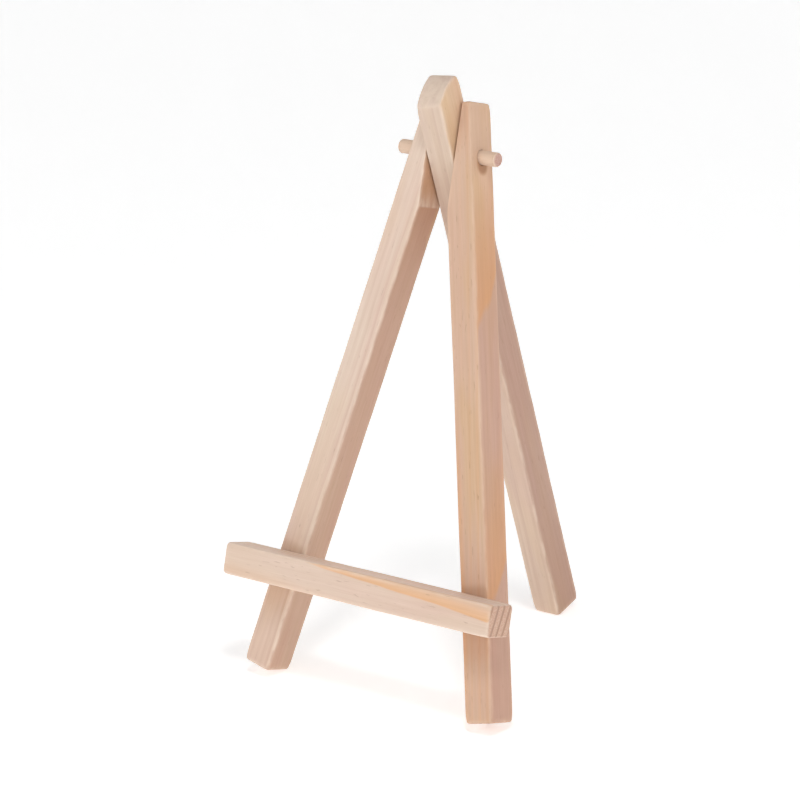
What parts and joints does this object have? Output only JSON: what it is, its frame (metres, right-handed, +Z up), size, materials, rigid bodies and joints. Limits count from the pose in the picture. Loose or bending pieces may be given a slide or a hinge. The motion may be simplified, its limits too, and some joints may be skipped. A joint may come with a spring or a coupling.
{
  "type": "wooden artist easel",
  "caption": "Mini table-top tripod easel of plain wooden sticks: an A-frame with a picture ledge, and a rear leg that folds on a dowel.",
  "frame": {"origin": "middle of the footprint's bounding box, on the table that the easel stands on", "axes": "+Z up, +X to the right seen from the front, +Y to the back; the picture faces -Y"},
  "size_m": [0.0694, 0.0718, 0.1256],
  "materials": {
    "left_leg_pine": "raw sawn pine, straight grain, matt",
    "right_leg_pine": "raw sawn pine, straight grain, matt",
    "ledge_pine": "raw sawn pine, wedge of yellow grain, matt",
    "dowel_wood": "raw turned dowel, fine grain, matt",
    "rear_leg_pine": "raw sawn pine, straight grain, matt"
  },
  "bodies": {
    "a_frame": {"left_leg": "left_leg_pine", "right_leg": "right_leg_pine", "ledge": "ledge_pine", "dowel_pin": "dowel_wood"},
    "rear_leg": {"rear_leg": "rear_leg_pine"}
  },
  "joints": [
    {"name": "rear_leg_hinge", "type": "hinge", "parent": "a_frame", "child": "rear_leg", "pos_m": [0.0009, 0.00143, 0.10884], "axis": [1, 0, 0], "range_deg": [-32.5, 57.5]}
  ]
}
